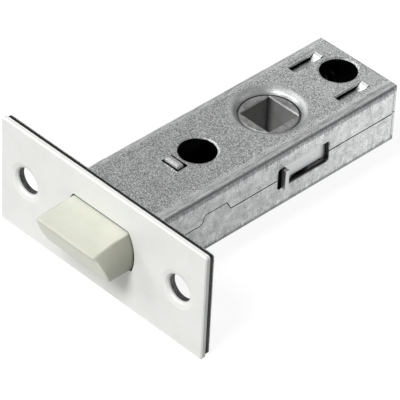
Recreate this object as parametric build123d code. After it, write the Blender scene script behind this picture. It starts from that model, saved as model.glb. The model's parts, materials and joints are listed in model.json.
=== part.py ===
from build123d import *
import os
from math import cos, pi, radians, sin

# Interior door latch: a spring bolt in a folded two-shell case, worked by a square-socket hub.
#
# Millimetres. The origin is on the hub's turning axis, halfway through the case.
# +Z runs along the spindle, -Y is the way the bolt points, and +X is to the right seen from behind.

# Front plate and the forend plate behind it
backset = 45.0                    # hub axis to the front face of the front plate
plate_length = 56.8
plate_height = 25.0
plate_drop = 0.45                 # how far the plates' middle lies below the case's middle
plate_thickness = 1.0
plate_corner_radius = 0.6
plate_edge_chamfer = 0.25         # softened edge round the painted front face
forend_thickness = 1.2
forend_end_inset = 0.15           # how far the forend stays inside the front plate, each end
forend_side_inset = 0.45          # the same, along the two long edges
forend_edge_chamfer = 0.2
screw_spacing = 42.4              # the two wood screws
screw_hole_radius = 2.9
screw_sink_radius = 4.3           # mouth of the rolled-in rim in the front plate
screw_sink_depth = 0.75
screw_sink_steps = 2              # cones that stand for the rim's curve

# Case, folded from sheet as an upper and a lower shell
case_width = 22.0
case_thickness = 14.8
case_rear = 25.4                  # hub axis to the rear face
case_sheet = 0.8
case_bend_radius = 1.75           # outside of the long bends
rear_bend_radius = 0.9            # outside of the bend over the rear flap
rear_flap_setback = 0.3           # the flap's side edge stays this far inside the side wall
rear_flap_gap = 0.15              # between a side wall's end and the flap
seam_height = 0.4                 # the seam's height above the middle of the case
seam_gap = 0.2
seam_bump_front = -29.3           # where the lower shell's locating bump starts
seam_bump_length = 8.4
seam_bump_height = 2.0
seam_bump_slope = 1.2             # length of the straight flank at the bump's rear
case_tab_width = 3.6              # tabs that pass through the forend
case_tab_offset = 5.4             # from the middle to each tab's middle
case_tab_clearance = 0.05

# Fixing holes, for the handle's through screws
fixing_spacing = 39.2
fixing_hole_radius = 3.9
fixing_rim_width = 0.45           # drawn-in rim of each hole
fixing_rim_depth = 0.2

# Side window, in which the carriage's lug runs
window_front = -8.15
window_rear = 6.25
window_top = 2.95
window_bottom = -2.1
window_corner_radius = 0.7

# Drawn neck round the hub, in both shells
neck_radius = 6.35
neck_roll_radius = 2.3            # curve from the case's face down into the neck
neck_roll_angle = 60.0
neck_roll_steps = 6               # cones that stand for the roll's curve
neck_depth = 1.75                 # from the case's face to the neck's inner end

# Lanced tongues beside the rear fixing hole
tongue_inset = 4.55               # from the case's side to a tongue's middle
tongue_width = 1.9
tongue_front = 12.5
tongue_rear = 20.6
tongue_ramp_length = 1.5
tongue_drop = 1.4
tongue_bend_radius = 0.9
tongue_side_gap = 0.12
tongue_slot_roll = 0.5            # rolled-in long edges of the slot round a tongue

# Hub
spindle_square = 8.1
hub_collar_radius = 6.05
hub_collar_setback = 1.05         # the hub's end face lies this far below the case's face
hub_body_radius = 6.65            # wider than the neck, which keeps the hub in
hub_edge_chamfer = 0.2
arm_pad_radius = 0.8              # rounded end of each arm
arm_reach = 8.7                   # hub axis to the arm's outermost point
arm_root_radius = 2.3
arm_root_distance = 4.0
arm_root_drop = 0.35              # how far the arm's rear flank falls away towards the body
arm_thickness = 4.4
arm_rest_angle = 34.0             # how far the arms point forward of the X axis at rest
hub_turn_angle = 72.0
socket_edge_chamfer = 0.25

# Carriage, a folded stirrup that runs inside the case walls
carriage_sheet = 1.0
carriage_side_gap = 0.2           # between a leg and the case wall
carriage_bend_radius = 1.4        # outside of the carriage's bends
leg_top = 5.9
leg_bottom = -2.0
bridge_top = 2.7
bridge_bottom = -2.6
bridge_clearance = 0.2            # between the hub's body and the bridge
hook_height = 4.2
hook_rear = -31.75                # rear face of the hooks that pull the bolt
hook_length = 2.2
lug_front = -7.0
lug_top = 2.6
lug_bottom = -1.9
lug_reach = 1.0                   # how far the lug stands out of the case wall
lug_notch_length = 2.6
lug_relief = 1.4
flange_bend_radius = 0.75         # outside of the bend between a leg and its flange
flange_inner = 6.9                # inner edge of the flange that the hub's arm pushes
flange_rear = 5.0
push_gap = 0.3                    # between an arm's pad and the flange at rest

# Latch bolt
bolt_side_radius = 9.2            # the bolt's bulged sides, centred on the case's axis
bolt_top = 5.3
bolt_bottom = -3.3
bolt_edge_radius = 0.45
bolt_bevel_chamfer = 0.3          # softened edge round the bevel
bolt_projection = 9.5             # from the front plate to the nose
bolt_nose_drop = 0.9              # how much the top face falls from the plate to the nose
bolt_foot_projection = 5.7        # from the front plate to the bevel's lower edge
bolt_clearance = 0.3
bolt_stop_gap = 0.3
bolt_head_length = 5.6
bolt_head_half_width = 8.6
bolt_head_half_height = 6.25
bolt_head_radius = 1.5
bolt_arm_inner = 4.9
bolt_arm_height = 6.0
bolt_arm_length = 7.3
hook_pocket_wall = 2.0            # nylon left behind each hook
hook_clearance = 0.2

# Springs and the post that the bolt's spring pushes on
post_width = 8.0
post_thickness = 1.3
post_front = -26.65
post_clearance = 0.05
post_tab_width = 4.0
post_tab_stand = 0.8              # how far the tab stands above the case
post_tab_radius = 0.6
post_slot_width = 4.6
post_slot_front = -27.15
post_slot_rear = -24.3
bolt_spring_radius = 2.7
bolt_spring_wire = 0.7
bolt_spring_turns = 9
bolt_spring_bore_depth = 11.1
spring_bore_clearance = 0.3
return_spring_radius = 2.25
return_spring_wire = 0.6
return_spring_turns = 8
spring_seat_gap = 0.05
coil_steps = 8                    # straight runs that stand for one turn of a spring's wire

# Places worked out from the sizes above
plate_front = -backset
forend_front = plate_front + plate_thickness
forend_rear = forend_front + forend_thickness
half_width = case_width / 2
half_thickness = case_thickness / 2
wall_inner_x = half_width - case_sheet
wall_inner_z = half_thickness - case_sheet
case_inner_radius = case_bend_radius - case_sheet
flap_inner_y = case_rear - case_sheet
wall_rear_y = flap_inner_y - rear_flap_gap
fixing_y = fixing_spacing / 2
neck_rim_radius = neck_radius + neck_roll_radius * sin(radians(neck_roll_angle))
tongue_offset = half_width - tongue_inset
leg_outer = wall_inner_x - carriage_side_gap
leg_middle = leg_outer - carriage_sheet / 2
leg_inner = leg_outer - carriage_sheet
bridge_front = hub_body_radius + bridge_clearance
bridge_rear = bridge_front + carriage_sheet
arm_centre = arm_reach - arm_pad_radius
pad_rest_y = arm_pad_radius - arm_centre * sin(radians(arm_rest_angle))
pad_turned_y = arm_pad_radius + arm_centre * sin(radians(hub_turn_angle - arm_rest_angle))
bolt_travel = pad_turned_y - pad_rest_y
flange_front = pad_rest_y + push_gap
bolt_nose_y = plate_front - bolt_projection
bolt_foot_y = plate_front - bolt_foot_projection
bolt_head_front = forend_rear + bolt_stop_gap
bolt_head_rear = bolt_head_front + bolt_head_length
bolt_arm_rear = hook_rear + hook_clearance + hook_pocket_wall
bolt_mid_z = (bolt_top + bolt_bottom) / 2
post_rear = post_front + post_thickness
spring_bore_radius = bolt_spring_radius + spring_bore_clearance
spring_bore_end = bolt_head_rear - bolt_spring_bore_depth


def span_box(x_span, y_span, z_span):
    """Box between two values on each axis."""
    sizes = [high - low for low, high in (x_span, y_span, z_span)]
    middle = [(high + low) / 2 for low, high in (x_span, y_span, z_span)]
    return Pos(*middle) * Box(*sizes)


def along_x(sketch, x_start, x_end):
    """Extrude a Y-Z sketch from one X to another."""
    plane = Plane(origin=(x_start, 0, 0), x_dir=(0, 1, 0), z_dir=(1, 0, 0))
    return extrude(plane * sketch, amount=x_end - x_start, dir=plane.z_dir)


def along_y(sketch, y_start, y_end):
    """Extrude an X-Z sketch from one Y to another."""
    plane = Plane(origin=(0, y_end, 0), x_dir=(1, 0, 0), z_dir=(0, -1, 0))
    return extrude(plane * sketch, amount=y_end - y_start, dir=plane.z_dir)


def along_z(sketch, z_start, z_end):
    """Extrude an X-Y sketch from one Z to another."""
    plane = Plane.XY.offset(z_start)
    return extrude(plane * sketch, amount=z_end - z_start, dir=plane.z_dir)


def with_mirror(shape, plane):
    """The shape and its mirror image."""
    return shape + mirror(shape, about=plane)


def bolt_section(clearance=0.0):
    """Cross-section of the bolt's nose: bulged sides between a flat top and a flat foot."""
    height = bolt_top - bolt_bottom + 2 * clearance
    disc = Circle(bolt_side_radius + clearance)
    band = Pos(0, bolt_mid_z) * Rectangle(4 * bolt_side_radius, height)
    section = disc & band
    return fillet(section.vertices(), bolt_edge_radius + clearance)


def screw_places():
    """Centres of the two wood-screw holes in the plates."""
    return [Pos(side * screw_spacing / 2, 0) for side in (-1, 1)]


def plate_outline(end_inset=0.0, side_inset=0.0):
    """Outline of the front plate, or of the forend plate that stays inside it."""
    length = plate_length - 2 * end_inset
    height = plate_height - 2 * side_inset
    return Pos(0, -plate_drop) * RectangleRounded(length, height, plate_corner_radius)


def front_plate():
    """Painted plate with a softened front edge and rolled-in screw holes."""
    plate = along_y(plate_outline(), plate_front, forend_front)
    plate = chamfer(plate.faces().sort_by(Axis.Y)[0].edges(), plate_edge_chamfer)
    plate -= along_y(bolt_section(bolt_clearance), plate_front - 1, forend_front + 1)
    for place in screw_places():
        plate -= along_y(place * Circle(screw_hole_radius), plate_front - 1, forend_front + 1)
        plate -= Pos(place.position.X, plate_front, 0) * screw_sink()
    return plate


def screw_sink():
    """Cutter for a screw hole's rolled-in rim, whose curve is a quarter ellipse in a few cones."""
    width = screw_sink_radius - screw_hole_radius
    points = []
    for step in range(screw_sink_steps + 1):
        angle = radians(90 * step / screw_sink_steps)
        points.append((screw_sink_radius - width * sin(angle), screw_sink_depth * (1 - cos(angle))))
    outline = Polygon((0, 0), *points, (0, screw_sink_depth), align=None)
    return revolve(outline, axis=Axis.Y)


def forend_plate():
    """Sheared steel plate that carries the case, with slots for the case's tabs."""
    plate = along_y(plate_outline(forend_end_inset, forend_side_inset), forend_front, forend_rear)
    plate = chamfer(plate.faces().sort_by(Axis.Y)[0].edges(), forend_edge_chamfer)
    plate -= along_y(bolt_section(bolt_clearance), forend_front - 1, forend_rear + 1)
    for place in screw_places():
        plate -= along_y(place * Circle(screw_hole_radius), forend_front - 1, forend_rear + 1)
    for slot in case_tab_blocks(case_tab_clearance):
        plate -= slot
    return plate


def case_tab_blocks(clearance=0.0):
    """The four tabs of the case, or with a clearance the slots that take them."""
    half_tab = case_tab_width / 2 + clearance
    blocks = []
    for x_side in (-1, 1):
        for z_side in (-1, 1):
            x_middle = x_side * case_tab_offset
            z_middle = z_side * (half_thickness - case_sheet / 2)
            blocks.append(
                span_box(
                    (x_middle - half_tab, x_middle + half_tab),
                    (forend_front, forend_rear),
                    (z_middle - case_sheet / 2 - clearance, z_middle + case_sheet / 2 + clearance),
                )
            )
    return blocks


def seam_line():
    """Seam between the shells on a side wall, in Y and Z, with the locating bump."""
    radius = seam_bump_height / 2
    bump_end = seam_bump_front + seam_bump_length
    start = (plate_front, seam_height)
    foot = (seam_bump_front, seam_height)
    rise = JernArc(start=foot, tangent=(1, 0), radius=radius, arc_size=90)
    crest = JernArc(start=rise @ 1, tangent=(0, 1), radius=radius, arc_size=-90)
    fall_start = (bump_end - seam_bump_slope, seam_height + seam_bump_height)
    fall_end = (bump_end, seam_height)
    end = (case_rear + case_sheet, seam_height)
    return [
        Line(start, foot),
        rise,
        crest,
        Line(crest @ 1, fall_start),
        Line(fall_start, fall_end),
        Line(fall_end, end),
    ]


def seam_region(side):
    """The half of the Y-Z plane above (1) or below (-1) the seam, held back by half the gap."""
    edges = seam_line()
    first = edges[0] @ 0
    last = edges[-1] @ 1
    far = side * case_thickness
    closing = Polyline((first.X, first.Y), (first.X, far), (last.X, far), (last.X, last.Y))
    region = make_face([*edges, *closing.edges()])
    return offset(region, amount=-seam_gap / 2, kind=Kind.INTERSECTION)


def case_tube():
    """Both shells' long walls as one tube, with the rear flaps, before the seam is cut."""
    outer = Rectangle(case_width, case_thickness)
    outer = fillet(outer.vertices(), case_bend_radius)
    inner = Rectangle(2 * wall_inner_x, 2 * wall_inner_z)
    inner = fillet(inner.vertices(), case_inner_radius)
    walls = along_y(outer - inner, forend_rear, wall_rear_y)
    cap_length = case_rear / 2
    cap_outer = Pos(case_rear - cap_length / 2, 0) * Rectangle(cap_length, case_thickness)
    cap_outer = fillet(cap_outer.vertices().group_by(Axis.X)[-1], rear_bend_radius)
    cap_inner = Pos(flap_inner_y - cap_length / 2, 0) * Rectangle(cap_length, 2 * wall_inner_z)
    cap_inner = fillet(cap_inner.vertices().group_by(Axis.X)[-1], rear_bend_radius - case_sheet)
    flap_half_width = half_width - rear_flap_setback
    cap = along_x(cap_outer - cap_inner, -flap_half_width, flap_half_width)
    cap &= along_y(outer, forend_rear, case_rear)
    return walls + cap


def hub_neck():
    """Drawn neck round the hub opening: a dished ring that joins the upper wall, with a short lip."""
    rim = neck_rim_radius
    centre_z = half_thickness - neck_roll_radius
    lip_z = half_thickness - neck_depth
    lip_outer = neck_radius + case_sheet
    under_z = centre_z + (neck_roll_radius - case_sheet) * cos(radians(neck_roll_angle))
    roll = []
    for step in range(neck_roll_steps + 1):
        angle = radians(neck_roll_angle * step / neck_roll_steps)
        roll.append((rim - neck_roll_radius * sin(angle), centre_z + neck_roll_radius * cos(angle)))
    outline = Polygon(
        (rim + case_sheet, half_thickness),
        *roll,
        (neck_radius, lip_z),
        (lip_outer, lip_z),
        (lip_outer, under_z),
        (rim, wall_inner_z),
        (rim + case_sheet, wall_inner_z),
        align=None,
    )
    return revolve(Plane.XZ * outline, axis=Axis.Z)


def fixing_hole():
    """Cutter for one fixing hole in the upper wall, with its drawn-in rim."""
    hole = along_z(Circle(fixing_hole_radius), wall_inner_z - 1, half_thickness + 1)
    rim = Cone(fixing_hole_radius, fixing_hole_radius + fixing_rim_width, fixing_rim_depth)
    return hole + Pos(0, 0, half_thickness - fixing_rim_depth / 2) * rim


def tongue_slot():
    """Cutter for the slot round a tongue, at the middle of the upper wall, with rolled long edges."""
    half_cut = tongue_width / 2 + tongue_side_gap
    roll_z = half_thickness - tongue_slot_roll
    outline = Pos(0, half_thickness) * Rectangle(2 * half_cut, 2 * case_sheet + 1)
    mouth = Pos(0, half_thickness) * Rectangle(2 * (half_cut + tongue_slot_roll), 2 * tongue_slot_roll)
    for side in (-1, 1):
        mouth -= Pos(side * (half_cut + tongue_slot_roll), roll_z) * Circle(tongue_slot_roll)
    return along_y(outline + mouth, tongue_front - tongue_side_gap, tongue_rear)


def tongue():
    """Lanced tongue at the middle of the upper wall: bent down in front of its root, then level."""
    sheet_middle = half_thickness - case_sheet / 2
    path = FilletPolyline(
        (tongue_rear + case_sheet, sheet_middle),
        (tongue_rear, sheet_middle),
        (tongue_rear - tongue_ramp_length, sheet_middle - tongue_drop),
        (tongue_front, sheet_middle - tongue_drop),
        radius=tongue_bend_radius,
    )
    return along_x(trace(path, line_width=case_sheet), -tongue_width / 2, tongue_width / 2)


def shell_wall_features(shell):
    """Cut and form what the upper wall of a shell carries."""
    reach = (wall_inner_z - 1, half_thickness + 1)
    for y_middle in (-fixing_y, fixing_y):
        shell -= Pos(0, y_middle, 0) * fixing_hole()
    shell -= along_z(Circle(neck_rim_radius + case_sheet), *reach)
    shell += hub_neck()
    half_slot = post_slot_width / 2
    shell -= span_box((-half_slot, half_slot), (post_slot_front, post_slot_rear), reach)
    for x_middle in (-tongue_offset, tongue_offset):
        shell -= Pos(x_middle, 0, 0) * tongue_slot()
        shell += Pos(x_middle, 0, 0) * tongue()
    return shell


def side_windows():
    """Cutter for the window in both side walls."""
    length = window_rear - window_front
    height = window_top - window_bottom
    outline = RectangleRounded(length, height, window_corner_radius)
    outline = Pos((window_front + window_rear) / 2, (window_top + window_bottom) / 2) * outline
    return along_x(outline, -case_width, case_width)


def upper_case():
    """Upper shell: top wall, the upper part of the side walls and the upper rear flap."""
    shell = shell_wall_features(case_tube())
    shell &= along_x(seam_region(1), -case_width, case_width)
    shell -= side_windows()
    return shell + tabs_on_side(1)


def lower_case():
    """Lower shell, with the same features in its bottom wall."""
    shell = mirror(shell_wall_features(case_tube()), about=Plane.XY)
    shell &= along_x(seam_region(-1), -case_width, case_width)
    shell -= side_windows()
    return shell + tabs_on_side(-1)


def tabs_on_side(side):
    """The two tabs of the upper (1) or lower (-1) shell."""
    tabs = [block for block in case_tab_blocks() if block.center().Z * side > 0]
    return tabs[0] + tabs[1]


def spring_post():
    """Upright that the bolt's spring pushes on, with a tab through a slot in each shell."""
    height = 2 * (wall_inner_z - post_clearance)
    tab_height = 2 * (half_thickness + post_tab_stand)
    outline = Rectangle(post_width, height) + RectangleRounded(post_tab_width, tab_height, post_tab_radius)
    return along_y(outline, post_front, post_rear)


def latch_bolt():
    """Moulded bolt: bevelled nose, guided head, and two arms that the carriage pulls."""
    nose = along_y(bolt_section(), bolt_nose_y, bolt_head_front)
    nose -= bolt_bevel_cutter()
    nose -= bolt_top_cutter()
    bevel = nose.faces().sort_by(Axis.Y)[0]
    nose = chamfer(bevel.edges(), bolt_bevel_chamfer)
    head_outline = Rectangle(2 * bolt_head_half_width, 2 * bolt_head_half_height)
    head_outline = fillet(head_outline.vertices(), bolt_head_radius)
    head = along_y(head_outline, bolt_head_front, bolt_head_rear)
    arm = span_box(
        (bolt_arm_inner, bolt_head_half_width),
        (bolt_head_rear, bolt_arm_rear),
        (-bolt_arm_height / 2, bolt_arm_height / 2),
    )
    bolt = nose + head + with_mirror(arm, Plane.YZ)
    bore = Pos(0, bolt_mid_z) * Circle(spring_bore_radius)
    bolt -= along_y(bore, spring_bore_end, bolt_head_rear)
    return bolt - with_mirror(hook_pocket(), Plane.YZ)


def bolt_bevel_cutter():
    """What the bevel takes off the front of the nose."""
    nose_z = bolt_top - bolt_nose_drop
    slope = (bolt_foot_y - bolt_nose_y) / (nose_z - bolt_bottom)
    overrun = 2.0
    outline = Polygon(
        (bolt_nose_y - slope * overrun, nose_z + overrun),
        (bolt_foot_y + slope * overrun, bolt_bottom - overrun),
        (bolt_nose_y - overrun, bolt_bottom - overrun),
        (bolt_nose_y - overrun, nose_z + overrun),
        align=None,
    )
    return along_x(outline, -2 * bolt_side_radius, 2 * bolt_side_radius)


def bolt_top_cutter():
    """What the fall of the top face takes off, from the plate to the nose."""
    slope = bolt_nose_drop / bolt_projection
    overrun = 1.0
    outline = Polygon(
        (plate_front, bolt_top),
        (bolt_nose_y - overrun, bolt_top - slope * (bolt_projection + overrun)),
        (bolt_nose_y - overrun, bolt_top + overrun),
        (plate_front, bolt_top + overrun),
        align=None,
    )
    return along_x(outline, -2 * bolt_side_radius, 2 * bolt_side_radius)


def hook_pocket():
    """Pocket in the bolt's right side: the hook pulls its rear wall, and may run forward in it."""
    rear = hook_rear + hook_clearance
    inner = leg_outer - hook_length - bolt_clearance
    half_height = hook_height / 2 + hook_clearance
    return span_box((inner, half_width), (bolt_head_front, rear), (-half_height, half_height))


def carriage_plan():
    """Plan of the stirrup: hooks, legs and the bridge behind the hub, bent from one strip."""
    hook_y = hook_rear - carriage_sheet / 2
    bridge_y = bridge_front + carriage_sheet / 2
    hook_end = leg_outer - hook_length
    path = FilletPolyline(
        (hook_end, hook_y),
        (leg_middle, hook_y),
        (leg_middle, bridge_y),
        (-leg_middle, bridge_y),
        (-leg_middle, hook_y),
        (-hook_end, hook_y),
        radius=carriage_bend_radius - carriage_sheet / 2,
    )
    return trace(path, line_width=carriage_sheet)


def carriage_side_outline():
    """Side view of the stirrup's strip."""
    half_hook = hook_height / 2
    hook_front = hook_rear - carriage_sheet
    neck_rear = lug_front - lug_notch_length
    leg_rear = bridge_rear - carriage_bend_radius
    notch_top = lug_top + lug_relief / 3
    bend_start = leg_bottom + flange_bend_radius
    return Polygon(
        (hook_front, -half_hook),
        (neck_rear, -half_hook),
        (neck_rear, notch_top),
        (lug_front + lug_relief, notch_top),
        (lug_front + carriage_sheet + lug_relief, lug_top - lug_relief / 3),
        (lug_front + carriage_sheet, lug_top - lug_relief / 3),
        (lug_front + carriage_sheet, leg_bottom),
        (flange_front, leg_bottom),
        (flange_front, bend_start),
        (flange_rear, bend_start),
        (flange_rear, leg_bottom),
        (bridge_rear, leg_bottom),
        (bridge_rear, bridge_top),
        (leg_rear, bridge_top),
        (leg_rear - (leg_top - bridge_top), leg_top),
        (hook_rear + leg_top, leg_top),
        (hook_rear + half_hook, half_hook),
        (hook_front, half_hook),
        align=None,
    )


def carriage_flange():
    """Inward flange under the right leg, whose front edge the hub's arm pushes."""
    flange_z = leg_bottom + carriage_sheet / 2
    path = FilletPolyline(
        (flange_inner, flange_z),
        (leg_middle, flange_z),
        (leg_middle, leg_bottom + flange_bend_radius),
        radius=flange_bend_radius - carriage_sheet / 2,
    )
    return along_y(trace(path, line_width=carriage_sheet), flange_front, flange_rear)


def carriage_lug():
    """Out-bent lug on the right leg, which runs in the case's window."""
    blank = span_box(
        (leg_inner, half_width + lug_reach),
        (lug_front, lug_front + carriage_sheet),
        (lug_bottom, lug_top),
    )
    bend = [
        edge
        for edge in blank.edges().filter_by(Axis.Z)
        if edge.center().X < leg_outer and edge.center().Y < lug_front + carriage_sheet / 2
    ]
    return fillet(bend, carriage_sheet * 0.9)


def carriage():
    """Folded stirrup: it joins the hub's arms to the bolt, and two springs push on its bridge."""
    strip = along_z(carriage_plan(), bridge_bottom, leg_top)
    strip &= along_x(carriage_side_outline(), -case_width, case_width)
    ears = with_mirror(carriage_flange() + carriage_lug(), Plane.YZ)
    lower_bridge = span_box(
        (carriage_bend_radius - leg_outer, leg_outer - carriage_bend_radius),
        (bridge_front, bridge_rear),
        (bridge_bottom, leg_bottom),
    )
    return strip + ears + lower_bridge


def hub_arm():
    """Outline of the right arm: a rounded pad with a straight rear flank and a deep root."""
    root_offset = arm_root_radius - arm_pad_radius + arm_root_drop
    pad = Pos(arm_centre, 0) * Circle(arm_pad_radius)
    root = Pos(arm_root_distance, -root_offset) * Circle(arm_root_radius)
    arm = make_hull([*pad.edges(), *root.edges()])
    return Rot(0, 0, -arm_rest_angle) * arm


def hub():
    """Cast hub: body, two arms, a bearing collar at each end and a square socket."""
    collar_half = half_thickness - hub_collar_setback
    body_half = half_thickness - neck_depth - bolt_clearance
    blank = along_z(Circle(hub_collar_radius), -collar_half, collar_half)
    blank = chamfer(blank.edges(), hub_edge_chamfer)
    blank += along_z(Circle(hub_body_radius), -body_half, body_half)
    arm = along_z(hub_arm(), -arm_thickness / 2, arm_thickness / 2)
    blank += with_mirror(arm, Plane.YZ)
    return blank - hub_socket(collar_half)


def hub_socket(collar_half):
    """Cutter for the square socket, with a chamfered mouth at each end."""
    mouth_square = spindle_square + 2 * socket_edge_chamfer
    bore = Box(spindle_square, spindle_square, case_thickness)
    mouth = loft([
        Plane.XY.offset(collar_half - socket_edge_chamfer) * Rectangle(spindle_square, spindle_square),
        Plane.XY.offset(collar_half) * Rectangle(mouth_square, mouth_square),
    ])
    return bore + with_mirror(mouth, Plane.XY)


def coil_spring(radius, wire, turns, length):
    """Compression spring along +Y from the origin, its wire drawn as short straight runs."""
    middle_radius = radius - wire / 2
    steps = turns * coil_steps
    points = []
    for step in range(steps + 1):
        angle = 2 * pi * step / coil_steps
        height = (length - wire) * step / steps
        points.append((middle_radius * cos(angle), middle_radius * sin(angle), height))
    path = Polyline(*points)
    start = Plane(origin=path @ 0, z_dir=path % 0)
    coil = sweep(start * RegularPolygon(wire / 2, 4), path=path, transition=Transition.RIGHT)
    return Rot(-90, 0, 0) * Pos(0, 0, wire / 2) * coil


def bolt_spring():
    """Spring between the bore in the bolt and the post."""
    start = spring_bore_end + spring_seat_gap
    length = post_front - spring_seat_gap - start
    coil = coil_spring(bolt_spring_radius, bolt_spring_wire, bolt_spring_turns, length)
    return Pos(0, start, bolt_mid_z) * coil


def return_spring(side):
    """Spring between the carriage's bridge and the rear flaps, on one side of the rear screw."""
    start = bridge_rear + spring_seat_gap
    length = flap_inner_y - spring_seat_gap - start
    coil = coil_spring(return_spring_radius, return_spring_wire, return_spring_turns, length)
    return Pos(side * tongue_offset, start, 0) * coil


def main():
    """Build every piece and write one file for each."""
    os.makedirs("parts", exist_ok=True)
    pieces = {
        "front_plate": front_plate(),
        "forend_plate": forend_plate(),
        "upper_case": upper_case(),
        "lower_case": lower_case(),
        "spring_post": spring_post(),
        "latch_bolt": latch_bolt(),
        "carriage": carriage(),
        "hub": hub(),
        "bolt_spring": bolt_spring(),
        "return_spring_left": return_spring(-1),
        "return_spring_right": return_spring(1),
    }
    for name, piece in pieces.items():
        export_step(piece, f"parts/{name}.step")
    print(f"bolt travel {bolt_travel:.3f} mm over {hub_turn_angle} degrees")


main()
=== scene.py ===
import json
import logging
import math
from dataclasses import dataclass, field
from enum import Enum
from typing import Any, Mapping, Sequence, Union

import bmesh
import bpy
from mathutils import Matrix, Vector


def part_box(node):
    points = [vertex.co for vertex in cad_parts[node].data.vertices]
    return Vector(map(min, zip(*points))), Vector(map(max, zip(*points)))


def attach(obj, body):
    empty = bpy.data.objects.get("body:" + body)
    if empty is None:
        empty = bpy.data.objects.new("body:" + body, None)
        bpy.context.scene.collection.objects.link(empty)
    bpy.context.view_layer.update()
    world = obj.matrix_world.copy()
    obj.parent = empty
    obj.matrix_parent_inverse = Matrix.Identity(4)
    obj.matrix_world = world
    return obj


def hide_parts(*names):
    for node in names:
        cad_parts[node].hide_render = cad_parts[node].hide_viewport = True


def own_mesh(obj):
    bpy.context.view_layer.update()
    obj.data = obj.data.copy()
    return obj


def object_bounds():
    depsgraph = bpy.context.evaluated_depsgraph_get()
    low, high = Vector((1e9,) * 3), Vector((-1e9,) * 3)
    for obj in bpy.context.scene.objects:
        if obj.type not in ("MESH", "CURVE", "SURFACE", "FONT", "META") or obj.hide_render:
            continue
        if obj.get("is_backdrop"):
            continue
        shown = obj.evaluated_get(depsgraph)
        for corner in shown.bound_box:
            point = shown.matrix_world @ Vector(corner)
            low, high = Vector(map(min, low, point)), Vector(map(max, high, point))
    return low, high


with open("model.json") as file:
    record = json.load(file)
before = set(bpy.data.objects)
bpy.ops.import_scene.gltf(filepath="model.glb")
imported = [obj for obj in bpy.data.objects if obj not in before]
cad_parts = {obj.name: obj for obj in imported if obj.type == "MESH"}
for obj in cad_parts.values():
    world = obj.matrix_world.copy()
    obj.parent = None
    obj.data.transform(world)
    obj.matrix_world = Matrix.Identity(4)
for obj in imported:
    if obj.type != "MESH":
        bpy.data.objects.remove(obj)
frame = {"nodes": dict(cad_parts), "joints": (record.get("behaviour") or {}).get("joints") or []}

log = logging.getLogger("door_latch")

MM = 0.001
PHOTO_WIDTH = 400.0

Number = Union[int, float]
Colour = tuple[float, float, float]
Span = tuple[float, float]
Settings = Mapping[str, Any]
Inputs = Mapping[Any, Any]

EDGE = 0.05 * MM  # how softly a mask ends at a sharp edge
CLOUDS: Span = (0.35, 0.65)  # where cloudy noise passes from one tone to the other
WHITE = (1.0, 1.0, 1.0, 1.0)


class Grain(Enum):
    """Which way the marks of a metal finish run."""

    ALONG_Y = (1.0, 0.06, 1.0)
    ALONG_Z = (1.0, 1.0, 0.06)


class SpringEnd(Enum):
    """Which end of a spring stands still while the latch works."""

    FRONT = "front"
    REAR = "rear"


class Signal:
    """A shader value that takes part in Python arithmetic by adding Math nodes."""

    def __init__(self, sheet: "ShaderSheet", socket: bpy.types.NodeSocket) -> None:
        """Wrap one output socket.

        Args:
            sheet: the node tree that the socket belongs to.
            socket: the output socket.
        """
        self.sheet = sheet
        self.socket = socket

    @classmethod
    def of(cls, sheet: "ShaderSheet", feed: "Feed") -> "Signal":
        """A plain number or a value, as a value.

        Args:
            sheet: the node tree that it belongs to.
            feed: the number or value.

        Returns:
            The value itself, or a node that holds the number.
        """
        if isinstance(feed, Signal):
            return feed
        return sheet.value("ShaderNodeMath", {"operation": "ADD"}, {0: feed, 1: 0.0}, "Value")

    def _math(self, operation: str, first: "Feed", second: "Feed" = 0.0) -> "Signal":
        """Add one Math node.

        Args:
            operation: the Math node's operation.
            first: its first input.
            second: its second input.

        Returns:
            The node's value.
        """
        settings = {"operation": operation}
        return self.sheet.value("ShaderNodeMath", settings, {0: first, 1: second}, "Value")

    def __add__(self, other: "Feed") -> "Signal":
        """Sum."""
        return self._math("ADD", self, other)

    def __radd__(self, other: "Feed") -> "Signal":
        """Sum, reflected."""
        return self._math("ADD", other, self)

    def __sub__(self, other: "Feed") -> "Signal":
        """Difference."""
        return self._math("SUBTRACT", self, other)

    def __rsub__(self, other: "Feed") -> "Signal":
        """Difference, reflected."""
        return self._math("SUBTRACT", other, self)

    def __mul__(self, other: "Feed") -> "Signal":
        """Product."""
        return self._math("MULTIPLY", self, other)

    def __rmul__(self, other: "Feed") -> "Signal":
        """Product, reflected."""
        return self._math("MULTIPLY", other, self)

    def __pow__(self, other: "Feed") -> "Signal":
        """Power."""
        return self._math("POWER", self, other)

    def __abs__(self) -> "Signal":
        """Size without sign."""
        return self._math("ABSOLUTE", self)

    def at_most(self, other: "Feed") -> "Signal":
        """The lower of this value and another."""
        return self._math("MINIMUM", self, other)

    def at_least(self, other: "Feed") -> "Signal":
        """The higher of this value and another."""
        return self._math("MAXIMUM", self, other)

    def ramp(self, low: float, high: float) -> "Signal":
        """Smooth step from 0 at low to 1 at high.

        Args:
            low: where the step starts.
            high: where it ends; it may be below low.

        Returns:
            The step's value.
        """
        settings = {"interpolation_type": "SMOOTHSTEP", "clamp": True}
        inputs = {"Value": self, "From Min": low, "From Max": high, "To Min": 0.0, "To Max": 1.0}
        return self.sheet.value("ShaderNodeMapRange", settings, inputs, "Result")


Feed = Union[Signal, Number]


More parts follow.
